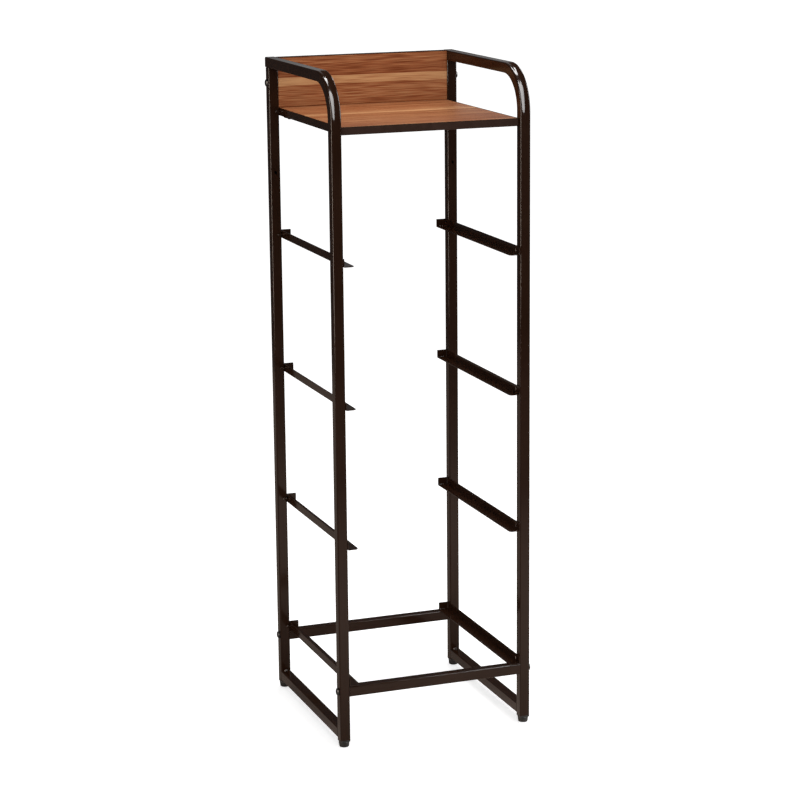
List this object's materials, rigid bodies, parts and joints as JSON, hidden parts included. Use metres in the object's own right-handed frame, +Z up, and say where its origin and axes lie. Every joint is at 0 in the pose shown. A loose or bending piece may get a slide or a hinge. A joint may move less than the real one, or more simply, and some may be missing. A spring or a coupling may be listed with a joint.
{
  "type": "open storage tower",
  "caption": "Tall open frame of square steel tube with pairs of angle runners for pull-out bins, a wood-faced shelf and low back panel on top, and levelling feet.",
  "frame": {"origin": "on the floor under the middle of the tower", "axes": "+Z up, front faces -Y, +X to the right seen from the front"},
  "size_m": [0.3486, 0.3454, 1.12],
  "materials": {
    "brown_coat": "satin dark brown powder coat",
    "wood_board": "satin red-brown wood-grain laminate",
    "edge_band": "dark brown edge band",
    "black_plastic": "black moulded plastic",
    "black_steel": "black oxide",
    "zinc_steel": "zinc plated"
  },
  "bodies": {
    "frame": {"arm_end_cap_left": "black_plastic", "arm_end_cap_right": "black_plastic", "back_panel": "wood_board", "bottom_rail_left": "brown_coat", "bottom_rail_right": "brown_coat", "crossbar_bolts": "black_steel", "crossbar_plugs": "zinc_steel", "foot_insert_front_left": "black_plastic", "foot_insert_front_right": "black_plastic", "foot_insert_rear_left": "black_plastic", "foot_insert_rear_right": "black_plastic", "front_crossbar": "brown_coat", "front_tube_left": "brown_coat", "front_tube_right": "brown_coat", "panel_bolts": "black_steel", "panel_inserts": "zinc_steel", "panel_top_band": "edge_band", "rear_crossbar": "brown_coat", "rear_upright_left": "brown_coat", "rear_upright_right": "brown_coat", "runner_left_1": "brown_coat", "runner_left_2": "brown_coat", "runner_left_3": "brown_coat", "runner_left_4": "brown_coat", "runner_right_1": "brown_coat", "runner_right_2": "brown_coat", "runner_right_3": "brown_coat", "runner_right_4": "brown_coat", "shelf_board": "wood_board", "shelf_edge_bands": "edge_band", "shelf_screws": "black_steel", "shelf_support_left": "brown_coat", "shelf_support_right": "brown_coat", "weld_beads_left": "brown_coat", "weld_beads_right": "brown_coat"},
    "foot_front_left": {"foot_stud_front_left": "zinc_steel", "foot_glide_front_left": "black_plastic"},
    "foot_front_right": {"foot_stud_front_right": "zinc_steel", "foot_glide_front_right": "black_plastic"},
    "foot_rear_left": {"foot_stud_rear_left": "zinc_steel", "foot_glide_rear_left": "black_plastic"},
    "foot_rear_right": {"foot_stud_rear_right": "zinc_steel", "foot_glide_rear_right": "black_plastic"}
  },
  "joints": [
    {"name": "level_front_left", "type": "slide", "parent": "frame", "child": "foot_front_left", "axis": [0, 0, -1], "range_m": [0, 0.008]},
    {"name": "level_front_right", "type": "slide", "parent": "frame", "child": "foot_front_right", "axis": [0, 0, -1], "range_m": [0, 0.008]},
    {"name": "level_rear_left", "type": "slide", "parent": "frame", "child": "foot_rear_left", "axis": [0, 0, -1], "range_m": [0, 0.008]},
    {"name": "level_rear_right", "type": "slide", "parent": "frame", "child": "foot_rear_right", "axis": [0, 0, -1], "range_m": [0, 0.008]}
  ]
}
